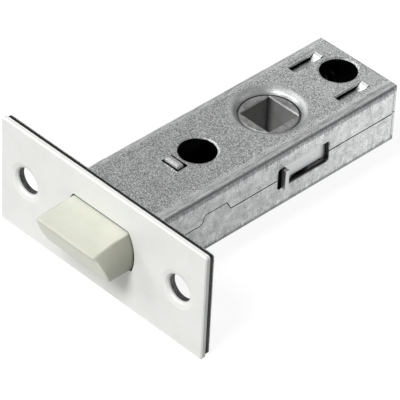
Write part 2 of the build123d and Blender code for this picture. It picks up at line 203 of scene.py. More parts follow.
class ShaderSheet:
    """The node tree of one material, or of the air round the studio."""

    def __init__(self, owner: Union[bpy.types.Material, bpy.types.World]) -> None:
        """Empty the owner's node tree.

        Args:
            owner: the material or world.
        """
        self.owner = owner
        owner.use_nodes = True
        self.tree = owner.node_tree
        self.tree.nodes.clear()

    @classmethod
    def named(cls, name: str) -> "ShaderSheet":
        """Start a new material.

        Args:
            name: the material's name.

        Returns:
            Its empty sheet.
        """
        return cls(bpy.data.materials.new(name))

    def node(self, kind: str, settings: Settings, inputs: Inputs) -> bpy.types.Node:
        """Add a node of any kind.

        Args:
            kind: the node's type.
            settings: its own settings, set before its inputs.
            inputs: values or links for its input sockets, by name or number.

        Returns:
            The new node.
        """
        made = self.tree.nodes.new(kind)
        for name, setting in settings.items():
            setattr(made, name, setting)
        for key, feed in inputs.items():
            socket = made.inputs[key]
            source = feed.socket if isinstance(feed, Signal) else feed
            if isinstance(source, bpy.types.NodeSocket):
                self.tree.links.new(source, socket)
            else:
                socket.default_value = source
        return made

    def value(self, kind: str, settings: Settings, inputs: Inputs, output: Any) -> Signal:
        """Add a node and take one of its outputs as a value.

        Args:
            kind: the node's type.
            settings: its own settings.
            inputs: values or links for its input sockets.
            output: the wanted output, by name or number.

        Returns:
            The output as a value.
        """
        return Signal(self, self.node(kind, settings, inputs).outputs[output])

    def place(self) -> bpy.types.NodeSocket:
        """Place on the object, in metres in the shared frame."""
        return self.node("ShaderNodeTexCoord", {}, {}).outputs["Object"]

    def axes(self, vector: bpy.types.NodeSocket) -> tuple[Signal, Signal, Signal]:
        """The three parts of a vector."""
        parts = self.node("ShaderNodeSeparateXYZ", {}, {"Vector": vector})
        return tuple(Signal(self, parts.outputs[axis]) for axis in "XYZ")

    def stretched(
        self, vector: bpy.types.NodeSocket, factors: Sequence[float]
    ) -> bpy.types.NodeSocket:
        """A vector scaled by its own factor on each axis."""
        inputs = {0: vector, 1: tuple(factors)}
        scaled = self.node("ShaderNodeVectorMath", {"operation": "MULTIPLY"}, inputs)
        return scaled.outputs["Vector"]

    def noise(
        self,
        vector: bpy.types.NodeSocket,
        size: float,
        detail: float = 3.0,
        fading: float = 0.55,
    ) -> Signal:
        """Cloudy noise.

        Args:
            vector: where it is read.
            size: the width of its blots, in metres.
            detail: how many finer layers it has.
            fading: how strong each finer layer is beside the one before it.

        Returns:
            Its value, from 0 to 1 about 0.5.
        """
        inputs = {"Vector": vector, "Scale": 1.0 / size, "Detail": detail, "Roughness": fading}
        return self.value("ShaderNodeTexNoise", {}, inputs, "Fac")

    def crystals(self, vector: bpy.types.NodeSocket, size: float) -> Signal:
        """A value of its own for each cell of a crystal pattern."""
        inputs = {"Vector": vector, "Scale": 1.0 / size}
        cells = self.node("ShaderNodeTexVoronoi", {"feature": "F1"}, inputs)
        return self.axes(cells.outputs["Color"])[0]

    def blend(self, share: Feed, first: Any, second: Any) -> bpy.types.NodeSocket:
        """Mix two colours.

        Args:
            share: how much of the second, from 0 to 1.
            first: a colour or a colour socket.
            second: a colour or a colour socket.

        Returns:
            The mixed colour.
        """
        pair = [(*tone, 1.0) if isinstance(tone, tuple) else tone for tone in (first, second)]
        settings = {"data_type": "RGBA", "blend_type": "MIX"}
        mixed = self.node("ShaderNodeMix", settings, {0: share, 6: pair[0], 7: pair[1]})
        return mixed.outputs[2]

    def bump(self, height: Feed, depth: float, strength: float) -> bpy.types.NodeSocket:
        """Normal of a bumped surface.

        Args:
            height: the bump's height, from 0 to 1.
            depth: what a height of 1 is, in metres.
            strength: share of the bump that shows.

        Returns:
            The normal.
        """
        inputs = {"Height": height, "Distance": depth, "Strength": strength}
        return self.node("ShaderNodeBump", {}, inputs).outputs["Normal"]

    def surface(self, **inputs: Any) -> bpy.types.Material:
        """Finish the material with a Principled surface.

        Args:
            inputs: the shader's sockets, with underscores for spaces.

        Returns:
            The material.
        """
        named = {key.replace("_", " "): feed for key, feed in inputs.items()}
        shader = self.node("ShaderNodeBsdfPrincipled", {}, named)
        self.finish(shader.outputs["BSDF"])
        return self.owner

    def mixed(self, share: Feed, first: bpy.types.Node, second: bpy.types.Node) -> bpy.types.Node:
        """Mix two shaders.

        Args:
            share: how much of the second, from 0 to 1.
            first: a shader node.
            second: a shader node.

        Returns:
            The mixing node.
        """
        inputs = {0: share, 1: first.outputs[0], 2: second.outputs[0]}
        return self.node("ShaderNodeMixShader", {}, inputs)

    def finish(self, shader: bpy.types.NodeSocket, kind: str = "ShaderNodeOutputMaterial") -> None:
        """Send a shader to the tree's output."""
        self.node(kind, {}, {"Surface": shader})


@dataclass(frozen=True)
class WhiteEnamel:
    """Stoved white paint of the face plate, with painted shade on the walls of its screw holes and
    in its bolt slot.
    """

    colour: Colour = (0.845, 0.85, 0.825)
    shade: Colour = (0.815, 0.82, 0.79)
    # painted shade: grey for the screw holes' walls and near black for the bolt slot's walls
    hole_shade: Colour = (0.62, 0.62, 0.60)
    gap_shade: Colour = (0.035, 0.035, 0.03)
    blot_size: float = 6.0 * MM
    blot_range: Span = (0.35, 0.7)
    peel_size: float = 0.9 * MM
    peel_depth: float = 0.012 * MM
    peel_share: float = 0.5
    roughness: float = 0.34
    unevenness: float = 0.08
    gloss: float = 0.45
    gap_start: Span = (-44.98 * MM, -44.92 * MM)
    slot_side: Span = (10.0 * MM, 9.8 * MM)
    slot_top: Span = (6.2 * MM, 6.0 * MM)
    screw_place: float = 21.2 * MM
    screw_radius: float = 2.95 * MM

    def material(self) -> bpy.types.Material:
        """Build the material."""
        sheet = ShaderSheet.named("white_enamel")
        place = sheet.place()
        x, y, z = sheet.axes(place)
        blots = sheet.noise(place, self.blot_size)
        peel = sheet.noise(place, self.peel_size, 1.0)
        behind = y.ramp(*self.gap_start)
        in_slot = behind * abs(x).ramp(*self.slot_side)
        in_slot = in_slot * abs(z).ramp(*self.slot_top)
        beside = abs(x) - self.screw_place
        from_screw = (beside * beside + z * z) ** 0.5
        in_screw = from_screw.ramp(self.screw_radius + EDGE, self.screw_radius)
        paint = sheet.blend(blots.ramp(*self.blot_range), self.colour, self.shade)
        # painted shade: the screw holes' walls turn grey
        paint = sheet.blend(in_screw, paint, self.hole_shade)
        # painted shade: the bolt slot's walls behind the front face turn near black
        return sheet.surface(
            Base_Color=sheet.blend(in_slot, paint, self.gap_shade),
            Roughness=self.roughness + self.unevenness * (blots - 0.5),
            Normal=sheet.bump(peel, self.peel_depth, self.peel_share),
            Specular_IOR_Level=self.gloss,
        )


@dataclass(frozen=True)
class GalvanisedSteel:
    """Zinc-coated sheet: fine crystals and specks over a cloudy ground."""

    name: str = "galvanised_steel"
    light: Colour = (0.94, 0.95, 0.95)
    dark: Colour = (0.235, 0.24, 0.245)
    # near black of painted shade
    shade_black: Colour = (0.03, 0.03, 0.03)
    crystal_size: float = 0.13 * MM
    speck_size: float = 0.09 * MM
    mottle_size: float = 3.2 * MM
    crystal_share: float = 0.55
    fine_share: float = 3.4
    mottle_share: float = 0.40
    roughness: float = 0.40
    unevenness: float = 0.10
    relief: float = 0.014 * MM
    relief_share: float = 0.6

    def shade(self, sheet: ShaderSheet, place: bpy.types.NodeSocket) -> Feed:
        """Share of the surface painted dark as shade.

        Args:
            sheet: the material's sheet.
            place: place on the object.

        Returns:
            0 where the metal keeps its own tone and 1 where it is painted black.
        """
        return 0.0

    def calm(self, sheet: ShaderSheet, place: bpy.types.NodeSocket) -> Feed:
        """How far the press has smoothed the grain.

        Args:
            sheet: the material's sheet.
            place: place on the object.

        Returns:
            0 where the grain is whole and 1 where none is left.
        """
        return 0.0

    def marks(self, sheet: ShaderSheet, place: bpy.types.NodeSocket) -> Feed:
        """Lighter and darker marks: marks the press has left, and painted highlights and shade.

        Args:
            sheet: the material's sheet.
            place: place on the object.

        Returns:
            What is added to the tone, about 0.
        """
        return 0.0

    def material(self) -> bpy.types.Material:
        """Build the material."""
        sheet = ShaderSheet.named(self.name)
        place = sheet.place()
        crystals = sheet.crystals(place, self.crystal_size)
        specks = sheet.noise(place, self.speck_size, 2.0)
        mottle = sheet.noise(place, self.mottle_size)
        whole = 1.0 - Signal.of(sheet, self.calm(sheet, place))
        fine = self.crystal_share * crystals + (1.0 - self.crystal_share) * specks - 0.5
        tone = 0.5 + self.fine_share * whole * fine + self.mottle_share * (mottle - 0.5)
        # marks may add painted highlights and painted shade to the tone
        tone = tone + self.marks(sheet, place)
        rougher = self.unevenness * whole * fine
        base_tone = sheet.blend(tone, self.dark, self.light)
        # painted shade: where shade() is high the colour turns near black
        return sheet.surface(
            Base_Color=sheet.blend(self.shade(sheet, place), base_tone, self.shade_black),
            Metallic=1.0,
            Roughness=self.roughness + rougher + self.unevenness * (mottle - 0.5),
            Normal=sheet.bump(whole * fine, self.relief, self.relief_share),
        )


@dataclass(frozen=True)
class PressedCase(GalvanisedSteel):
    """The shells' steel: smoother grain at bends, streaked down its sides, with painted highlights
    and painted shade along its bends, and painted shade inside, in its holes, gaps and seam and
    over its sheared cut faces.
    """

    half_width: float = 11.0 * MM
    half_height: float = 7.4 * MM
    bend_radius: float = 1.75 * MM
    sheet_depth: float = 0.72 * MM
    softness: float = 0.04 * MM
    cut_height: float = 5.6 * MM
    face_start: Span = (10.985 * MM, 10.95 * MM)
    # painted shade on the cut faces, darker further in
    inward_dark_start: Span = (10.8 * MM, 10.55 * MM)
    inward_dark_share: float = 0.55
    wall_rear: float = 24.5 * MM
    inner_rear: float = 24.9 * MM
    flap_gap_place: float = 24.55 * MM
    flap_gap_width: Span = (0.24 * MM, 0.16 * MM)
    hole_place: float = 19.6 * MM
    hole_radius: float = 3.95 * MM
    hole_depth: float = 0.14 * MM
    neck_radius: float = 8.4 * MM
    tongue_place: float = 6.45 * MM
    tongue_half_width: float = 1.02 * MM
    tongue_depth: float = 1.5 * MM
    post_slot: tuple[float, float, float] = (2.6 * MM, -27.4 * MM, -24.0 * MM)
    seam_height: float = 0.4 * MM
    seam_bump_end: float = -20.9 * MM
    # painted shade along the seam between the shells
    seam_shade_band: Span = (0.17 * MM, 0.102 * MM)
    seam_shade_share: float = 0.9
    bend_rub: Span = (1.3, 0.7)
    side_calm: float = 0.72
    neck_rub: Span = (9.2 * MM, 7.4 * MM)
    neck_calm: float = 0.8
    ramp_start: Span = (18.4 * MM, 19.0 * MM)
    ramp_width: Span = (1.4 * MM, 0.9 * MM)
    ramp_calm: float = 0.7
    side_start: Span = (10.65 * MM, 10.95 * MM)
    streak_size: float = 0.24 * MM
    streak_depth: Span = (4.3 * MM, 1.7 * MM)
    streak_share: float = 1.35
    blot_size: float = 1.3 * MM
    blot_share: float = 0.9
    line_size: float = 0.20 * MM
    line_width: float = 1.0 * MM
    line_depth: Span = (0.7 * MM, 0.25 * MM)
    line_highlight: float = 0.36
    # painted highlight added along each bend's start
    line_share: float = 2.9
    band_top: Span = (0.30 * MM, 0.80 * MM)
    band_foot: Span = (2.1 * MM, 1.5 * MM)
    band_edge: float = 0.5 * MM
    # painted shade band along each bend
    band_shade: float = 0.5
    roll_side: Span = (1.75 * MM, 1.6 * MM)
    roll_depth: Span = (0.02 * MM, 0.10 * MM)
    roll_front: Span = (11.0 * MM, 12.0 * MM)
    roll_rear: Span = (22.0 * MM, 21.0 * MM)
    # painted highlight on the rolls beside the tongues
    roll_highlight: float = 0.7

    def shade(self, sheet: ShaderSheet, place: bpy.types.NodeSocket) -> Feed:
        """Share of the surface painted dark: painted shade, which on the cut faces lies over
        sheared steel.

        Args:
            sheet: the material's sheet.
            place: place on the object.

        Returns:
            High inside the case, in its holes, gaps and seam and on its cut faces, 0 elsewhere.
        """
        x, y, z = sheet.axes(place)
        beside = abs(x)
        depth = self.half_height - abs(z)
        edge = self.softness
        inner_x = self.half_width - self.sheet_depth
        within = beside.ramp(inner_x + edge, inner_x - edge)
        # painted shade: the inside of the case goes near black
        inside = within * depth.ramp(self.sheet_depth - edge, self.sheet_depth + edge)
        inside = inside * y.ramp(self.inner_rear + edge, self.inner_rear - edge)
        from_hub = (x * x + y * y) ** 0.5
        off_neck = from_hub.ramp(self.neck_radius - edge, self.neck_radius + edge)
        on_tongue = abs(beside - self.tongue_place).ramp(
            self.tongue_half_width + edge, self.tongue_half_width - edge
        )
        high_enough = depth.ramp(self.tongue_depth + edge, self.tongue_depth - edge)
        inside = inside * off_neck * (1.0 - on_tongue * high_enough)
        along = abs(y) - self.hole_place
        from_hole = (x * x + along * along) ** 0.5
        in_hole = from_hole.ramp(self.hole_radius + edge, self.hole_radius - edge)
        # painted shade on the walls of the holes
        hole_wall = in_hole * depth.ramp(self.hole_depth - edge, self.hole_depth + edge)
        slot_half_width, slot_front, slot_rear = self.post_slot
        # painted shade on the walls of the post's slot
        face_cut = beside.ramp(slot_half_width + edge, slot_half_width)
        face_cut = face_cut * depth.ramp(edge, 2.0 * edge)
        face_cut = face_cut * y.ramp(slot_front - edge, slot_front)
        face_cut = face_cut * y.ramp(slot_rear + edge, slot_rear)
        low = abs(z).ramp(self.cut_height, self.cut_height - edge)
        ahead = y.ramp(self.wall_rear + edge, self.wall_rear)
        inward_dark = (1.0 - self.inward_dark_share) + self.inward_dark_share * beside.ramp(*self.inward_dark_start)
        below_face = beside.ramp(*self.face_start)
        # cut faces: partly sheared steel, partly painted shade
        side_cut = inward_dark * below_face * (1.0 - within) * low * ahead
        # painted shade in the gap by the rear flap
        in_gap = abs(y - self.flap_gap_place).ramp(*self.flap_gap_width)
        flap_gap = in_gap * low * (1.0 - within)
        # painted shade along the seam between the shells
        seam_shade = abs(z - self.seam_height).ramp(*self.seam_shade_band)
        seam_shade = self.seam_shade_share * seam_shade * y.ramp(self.seam_bump_end, self.seam_bump_end + edge)
        cuts = hole_wall.at_least(face_cut).at_least(side_cut)
        return inside.at_least(cuts).at_least(flap_gap).at_least(seam_shade)

    def calm(self, sheet: ShaderSheet, place: bpy.types.NodeSocket) -> Feed:
        """How far the press has smoothed the grain: on bends, sides, necks and ramps.

        Args:
            sheet: the material's sheet.
            place: place on the object.

        Returns:
            0 where the grain is whole and 1 where none is left.
        """
        x, y, _ = sheet.axes(place)
        start, full = (self.half_width - share * self.bend_radius for share in self.bend_rub)
        on_side = abs(x).ramp(start, full)
        from_hub = (x * x + y * y) ** 0.5
        on_neck = from_hub.ramp(*self.neck_rub)
        from_tongue = abs(abs(x) - self.tongue_place)
        on_ramp = y.ramp(*self.ramp_start) * from_tongue.ramp(*self.ramp_width)
        calm = (self.side_calm * on_side).at_least(self.neck_calm * on_neck)
        return calm.at_least(self.ramp_calm * on_ramp)

    def marks(self, sheet: ShaderSheet, place: bpy.types.NodeSocket) -> Feed:
        """Press lines along each bend's start with a painted highlight, a painted shade band along
        each bend, painted highlights on the rolls by the tongues, and streaked sides.

        Args:
            sheet: the material's sheet.
            place: place on the object.

        Returns:
            What is added to the tone, about 0.
        """
        x, y, z = sheet.axes(place)
        beside = abs(x)
        depth = self.half_height - abs(z)
        streaks = sheet.noise(sheet.stretched(place, Grain.ALONG_Z.value), self.streak_size)
        lines = sheet.noise(sheet.stretched(place, Grain.ALONG_Y.value), self.line_size, 2.0)
        blots = sheet.noise(place, self.blot_size)
        on_side = beside.ramp(*self.side_start)
        below_bend = depth.ramp(*self.streak_depth)
        start_x = self.half_width - self.bend_radius
        on_start = beside.ramp(start_x - self.line_width, start_x) * depth.ramp(*self.line_depth)
        # painted shade band along each bend
        bend_shade = depth.ramp(*self.band_top) * depth.ramp(*self.band_foot)
        bend_shade = bend_shade * beside.ramp(start_x, start_x + self.band_edge)
        from_tongue = abs(beside - self.tongue_place)
        on_roll = from_tongue.ramp(self.tongue_half_width - EDGE, self.tongue_half_width)
        on_roll = on_roll * from_tongue.ramp(*self.roll_side)
        on_roll = on_roll * depth.ramp(*self.roll_depth)
        on_roll = on_roll * y.ramp(*self.roll_front) * y.ramp(*self.roll_rear)
        streaked = self.streak_share * below_bend * (streaks - 0.5)
        down = on_side * (streaked + self.blot_share * (blots - 0.5))
        lined = on_start * (self.line_highlight + self.line_share * (lines - 0.5))
        # painted highlights on the bend starts and the rolls, painted shade band along the bends
        return down + self.roll_highlight * on_roll + lined - self.band_shade * bend_shade


@dataclass(frozen=True)
class ShearedForend(GalvanisedSteel):
    """The forend's steel, with painted shade on its cut walls and along its outer edge behind the
    face plate.
    """

    name: str = "forend_steel"
    front: float = -44.0 * MM
    dark_start: float = 1.15 * MM
    dark_end: float = 0.85 * MM
    screw_place: float = 21.2 * MM
    screw_radius: float = 2.95 * MM
    slot_radius: float = 9.55 * MM
    slot_half_height: float = 5.65 * MM
    darkest: float = 0.97
    hole_share: float = 0.8
    outer_x: Span = (27.6 * MM, 27.7 * MM)
    outer_z: Span = (11.3 * MM, 11.4 * MM)

    def shade(self, sheet: ShaderSheet, place: bpy.types.NodeSocket) -> Feed:
        """Share of the surface painted dark as shade.

        Args:
            sheet: the material's sheet.
            place: place on the object.

        Returns:
            High in the holes and at the front of the outer edge, 0 on the rear face.
        """
        x, y, z = sheet.axes(place)
        beside = abs(x) - self.screw_place
        from_screw = (beside * beside + z * z) ** 0.5
        in_screw = from_screw.ramp(self.screw_radius + EDGE, self.screw_radius)
        from_axis = (x * x + z * z) ** 0.5
        in_slot = from_axis.ramp(self.slot_radius + EDGE, self.slot_radius)
        in_slot = in_slot * abs(z).ramp(self.slot_half_height + EDGE, self.slot_half_height)
        outer = abs(x).ramp(*self.outer_x)
        outer = outer.at_least(abs(z).ramp(*self.outer_z))
        # painted shade: near black along the outer edge just behind the face plate, in the screw
        # holes and in the bolt slot
        band = (y - self.front).ramp(self.dark_start, self.dark_end)
        return self.darkest * (outer * band).at_least(self.hole_share * in_screw).at_least(in_slot)


@dataclass(frozen=True)
class PlatedCarriage(GalvanisedSteel):
    """The carriage's smoother zinc plating, shown on its outer faces and the lugs' ends, with
    painted shade elsewhere.
    """

    name: str = "carriage_steel"
    light: Colour = (0.82, 0.83, 0.83)
    dark: Colour = (0.56, 0.565, 0.57)
    fine_share: float = 0.9
    roughness: float = 0.36
    outer_face: float = 9.93 * MM
    leg_face: float = 10.05 * MM
    lug_end: Span = (10.98 * MM, 10.92 * MM)

    def shade(self, sheet: ShaderSheet, place: bpy.types.NodeSocket) -> Feed:
        """Share of the surface painted dark as shade.

        Args:
            sheet: the material's sheet.
            place: place on the object.

        Returns:
            0 on the legs' outer faces and the lugs' ends, 1 elsewhere.
        """
        beside = abs(sheet.axes(place)[0])
        # painted shade: everything but the legs' outer faces and the lugs' ends goes near black
        inner = beside.ramp(self.outer_face, self.outer_face - EDGE)
        lug_wall = beside.ramp(self.leg_face, self.leg_face + EDGE)
        lug_wall = lug_wall * beside.ramp(*self.lug_end)
        return inner.at_least(lug_wall)


@dataclass(frozen=True)
class MouldedNylon:
    """Ivory moulded nylon of the bolt: satin, with painted shade on its sides and behind the
    plate, and a painted highlight on its bevel.
    """

    colour: Colour = (0.65, 0.663, 0.578)
    shade: Colour = (0.61, 0.621, 0.527)
    # painted shade in the gap behind the plate's front face
    gap_shade: Colour = (0.07, 0.07, 0.055)
    # painted shade on the bolt's sides
    side_shade: Colour = (0.29, 0.295, 0.232)
    side_shade_share: float = 0.78
    # painted highlight on the bevel
    bevel_highlight: Colour = (0.88, 0.895, 0.78)
    bevel_start: Span = (-54.5 * MM, 4.4 * MM)
    bevel_facing: Span = (-0.897, -0.442)
    bevel_depth: Span = (-0.45 * MM, -0.2 * MM)
    bevel_fade: float = 1.6 * MM
    side_shade_reach: Span = (-56.0 * MM, -45.0 * MM)
    side_radius: Span = (8.9 * MM, 9.1 * MM)
    side_top: Span = (5.1 * MM, 4.8 * MM)
    gap_start: Span = (-45.05 * MM, -44.8 * MM)
    gap_shade_share: float = 0.85
    cloud_size: float = 4.0 * MM
    cloud_range: Span = (0.3, 0.75)
    skin_size: float = 0.35 * MM
    skin_depth: float = 0.012 * MM
    ripple_size: float = 2.2 * MM
    ripple_depth: float = 0.05 * MM
    relief_share: float = 0.6
    roughness: float = 0.45
    unevenness: float = 0.1
    scatter: float = 0.12
    scatter_depth: float = 0.6 * MM
    gloss: float = 0.4

    def material(self) -> bpy.types.Material:
        """Build the material."""
        sheet = ShaderSheet.named("moulded_nylon")
        place = sheet.place()
        x, y, z = sheet.axes(place)
        clouds = sheet.noise(place, self.cloud_size)
        skin = sheet.noise(place, self.skin_size, 2.0)
        ripples = sheet.noise(place, self.ripple_size, 1.0)
        behind = y.ramp(*self.gap_start)
        base_tone = sheet.blend(clouds.ramp(*self.cloud_range), self.colour, self.shade)
        on_side = ((x * x + z * z) ** 0.5).ramp(*self.side_radius)
        on_side = on_side * z.ramp(*self.side_top)
        painted_tone = on_side * y.ramp(*self.side_shade_reach)
        # painted shade on the sides, strongest near the plate
        base_tone = sheet.blend(self.side_shade_share * painted_tone, base_tone, self.side_shade)
        start_y, start_z = self.bevel_start
        facing_y, facing_z = self.bevel_facing
        from_bevel = facing_y * (y - start_y) + facing_z * (z - start_z)
        on_bevel = from_bevel.ramp(*self.bevel_depth)
        on_bevel = on_bevel * z.ramp(start_z, start_z - self.bevel_fade)
        # painted highlight on the bevel
        base_tone = sheet.blend(on_bevel, base_tone, self.bevel_highlight)
        height = ripples + self.skin_depth / self.ripple_depth * skin
        # painted shade behind the plate's front face
        return sheet.surface(
            Base_Color=sheet.blend(self.gap_shade_share * behind, base_tone, self.gap_shade),
            Roughness=self.roughness + self.unevenness * (skin - 0.5),
            Normal=sheet.bump(height, self.ripple_depth, self.relief_share),
            Subsurface_Weight=self.scatter,
            Subsurface_Scale=self.scatter_depth,
            Specular_IOR_Level=self.gloss,
        )


@dataclass(frozen=True)
class CastZinc:
    """Die-cast zinc of the hub: dull, with small flow marks, painted light on its socket's walls
    and painted shade on one wall and in a corner of the socket.
    """

    light: Colour = (0.39, 0.39, 0.385)
    dark: Colour = (0.17, 0.17, 0.17)
    # painted shade for the socket's -X wall and one corner
    socket_shade: Colour = (0.085, 0.085, 0.085)
    # painted light: a lighter tone for the socket's walls
    painted_tone: Colour = (0.50, 0.50, 0.495)
    painted_tone_share: float = 0.7
    wall_start: Span = (-3.92 * MM, -4.02 * MM)
    wall_share: float = 0.55
    corner_share: float = 0.94
    socket_half: float = 4.12 * MM
    socket_edge: float = 0.03 * MM
    corner: float = 2.0 * MM
    flow_size: float = 1.8 * MM
    flow_share: float = 0.6
    grit_size: float = 0.25 * MM
    grit_depth: float = 0.02 * MM
    relief_share: float = 0.5
    metallic: float = 0.6
    roughness: float = 0.42
    unevenness: float = 0.2

    def material(self) -> bpy.types.Material:
        """Build the material."""
        sheet = ShaderSheet.named("cast_zinc")
        place = sheet.place()
        flow = sheet.noise(place, self.flow_size)
        grit = sheet.noise(place, self.grit_size, 2.0)
        tone = self.flow_share * flow + (1.0 - self.flow_share) * grit
        x, y, _ = sheet.axes(place)
        from_axis = abs(x).at_least(abs(y))
        in_socket = from_axis.ramp(self.socket_half, self.socket_half - self.socket_edge)
        from_corner = (x + self.socket_half).at_least(self.socket_half - y)
        on_wall = x.ramp(*self.wall_start)
        in_corner = self.corner_share * from_corner.ramp(self.corner, 0.0)
        # painted shade on the socket's -X wall and in one corner
        socket_shade_share = (self.wall_share * on_wall).at_least(in_corner)
        base_tone = sheet.blend(tone.ramp(*CLOUDS), self.dark, self.light)
        # painted light on the socket's walls
        base_tone = sheet.blend(self.painted_tone_share * in_socket, base_tone, self.painted_tone)
        return sheet.surface(
            Base_Color=sheet.blend(in_socket * socket_shade_share, base_tone, self.socket_shade),
            Metallic=self.metallic,
            Roughness=self.roughness + self.unevenness * (grit - 0.5),
            Normal=sheet.bump(grit, self.grit_depth, self.relief_share),
        )


@dataclass(frozen=True)
class BrightPost:
    """Satin zinc plating of the post, greyer on its top, with painted shade on its rear half and
    ends and inside the case.
    """

    light: Colour = (0.90, 0.90, 0.89)
    dark: Colour = (0.74, 0.74, 0.73)
    top: Colour = (0.80, 0.80, 0.79)
    # painted shade on the post's rear half and ends
    rear_shade: Colour = (0.30, 0.30, 0.30)
    rear_shade_share: float = 0.75
    rear_start: Span = (-26.15 * MM, -25.9 * MM)
    end_start: Span = (1.5 * MM, 1.8 * MM)
    # painted shade inside the case
    shade_black: Colour = (0.02, 0.02, 0.02)
    brush_size: float = 0.3 * MM
    case_face: Span = (7.45 * MM, 7.35 * MM)
    tab_end: Span = (7.92 * MM, 8.17 * MM)
    metallic: float = 0.5
    roughness: float = 0.28
    unevenness: float = 0.12

    def material(self) -> bpy.types.Material:
        """Build the material."""
        sheet = ShaderSheet.named("bright_post")
        place = sheet.place()
        x, y, z = sheet.axes(place)
        brush = sheet.noise(sheet.stretched(place, Grain.ALONG_Z.value), self.brush_size, 2.0)
        base_tone = sheet.blend(brush.ramp(*CLOUDS), self.dark, self.light)
        base_tone = sheet.blend(abs(z).ramp(*self.tab_end), base_tone, self.top)
        rearward = y.ramp(*self.rear_start)
        endward = abs(x).ramp(*self.end_start)
        # painted shade on the rear half and ends
        base_tone = sheet.blend(self.rear_shade_share * rearward.at_least(endward), base_tone, self.rear_shade)
        # painted shade: near black inside the case
        inside = abs(z).ramp(*self.case_face)
        return sheet.surface(
            Base_Color=sheet.blend(inside, base_tone, self.shade_black),
            Metallic=self.metallic,
            Roughness=self.roughness + self.unevenness * (brush - 0.5),
        )


@dataclass(frozen=True)
class SpringWire:
    """Drawn spring wire, coloured near black as painted shade for its place inside the case, with
    fine draw marks.
    """

    # near black, painted shade for the wire inside the case
    light: Colour = (0.10, 0.10, 0.10)
    dark: Colour = (0.035, 0.035, 0.035)
    mark_size: float = 0.2 * MM
    roughness: float = 0.32
    unevenness: float = 0.12

    def material(self) -> bpy.types.Material:
        """Build the material."""
        sheet = ShaderSheet.named("spring_wire")
        marks = sheet.noise(sheet.place(), self.mark_size, 2.0)
        return sheet.surface(
            Base_Color=sheet.blend(marks.ramp(*CLOUDS), self.dark, self.light),
            Metallic=1.0,
            Roughness=self.roughness + self.unevenness * (marks - 0.5),
        )


@dataclass(frozen=True)
class StudioPaper:
    """Paper, white to the camera and grey to bright to shiny metal, with a soft shadow."""

    bounce: Colour = (0.55, 0.55, 0.55)
    white: float = 1.08
    shadow_share: float = 0.16
    mirrored_front: float = 0.56
    mirrored_rear: float = 1.50
    mirrored_shadow_share: float = 0.45
    dull_until: float = -24.0 * MM
    clear_from: float = 50.0 * MM

    def material(self) -> bpy.types.Material:
        """Build the material."""
        sheet = ShaderSheet.named("studio_paper")
        paths = sheet.node("ShaderNodeLightPath", {}, {})
        camera = Signal(sheet, paths.outputs["Is Camera Ray"])
        glossy = Signal(sheet, paths.outputs["Is Glossy Ray"])
        passing = Signal(sheet, paths.outputs["Is Transmission Ray"])
        plain = sheet.node("ShaderNodeBsdfDiffuse", {}, {"Color": (*self.bounce, 1.0)})
        lit = sheet.node("ShaderNodeBsdfDiffuse", {}, {"Color": WHITE})
        white = sheet.node("ShaderNodeEmission", {}, {"Strength": self.white})
        dull = sheet.node("ShaderNodeEmission", {}, {"Strength": self.mirrored_front})
        clear = sheet.node("ShaderNodeEmission", {}, {"Strength": self.mirrored_rear})
        rearward = sheet.axes(sheet.place())[1].ramp(self.dull_until, self.clear_from)
        pale = sheet.mixed(rearward, dull, clear)
        shown = sheet.mixed(self.shadow_share, white, lit)
        reflected = sheet.mixed(self.mirrored_shadow_share, pale, lit)
        seen = sheet.mixed((camera + passing).at_most(1.0), plain, shown)
        sheet.finish(sheet.mixed(glossy, seen, reflected).outputs[0])
        return sheet.owner


@dataclass(frozen=True)
class StudioAir:
    """Even light from all round, dim for paint and brighter high up for shiny metal."""

    dim: float = 0.06
    bright: float = 0.37
    horizon: float = 0.10
    height: float = 0.45

    def build(self) -> None:
        """Make the scene's world."""
        sheet = ShaderSheet(bpy.data.worlds.new("studio_air"))
        bpy.context.scene.world = sheet.owner
        paths = sheet.node("ShaderNodeLightPath", {}, {})
        glossy = Signal(sheet, paths.outputs["Is Glossy Ray"])
        _, _, up = sheet.axes(sheet.node("ShaderNodeTexCoord", {}, {}).outputs["Generated"])
        share = glossy * up.ramp(self.horizon, self.height)
        dim, bright = (
            sheet.node("ShaderNodeBackground", {}, {"Color": WHITE, "Strength": strength})
            for strength in (self.dim, self.bright)
        )
        sheet.finish(sheet.mixed(share, dim, bright).outputs[0], "ShaderNodeOutputWorld")


def dress(node: str, material: bpy.types.Material) -> None:
    """Give a CAD node its finish.

    Args:
        node: the node's name.
        material: the finish.
    """
    piece = frame["nodes"][node]
    if not piece.material_slots:
        piece.data.materials.append(material)
    for own_slot in piece.material_slots:
        own_slot.material = material
    log.info("dressed %s with %s", node, material.name)


@dataclass
class FacePlates:
    """The painted face plate and the steel forend behind it."""

    enamel: WhiteEnamel = field(default_factory=WhiteEnamel)
    steel: ShearedForend = field(default_factory=ShearedForend)

    def build(self) -> None:
        """Dress both plates."""
        dress("front_plate", self.enamel.material())
        dress("forend_plate", self.steel.material())


@dataclass
class FoldedCase:
    """The two shells and the post that crosses them."""

    steel: PressedCase = field(default_factory=PressedCase)
    plating: BrightPost = field(default_factory=BrightPost)

    def build(self) -> None:
        """Dress the shells and the post."""
        material = self.steel.material()
        for node in ("upper_case", "lower_case"):
            dress(node, material)
        dress("spring_post", self.plating.material())


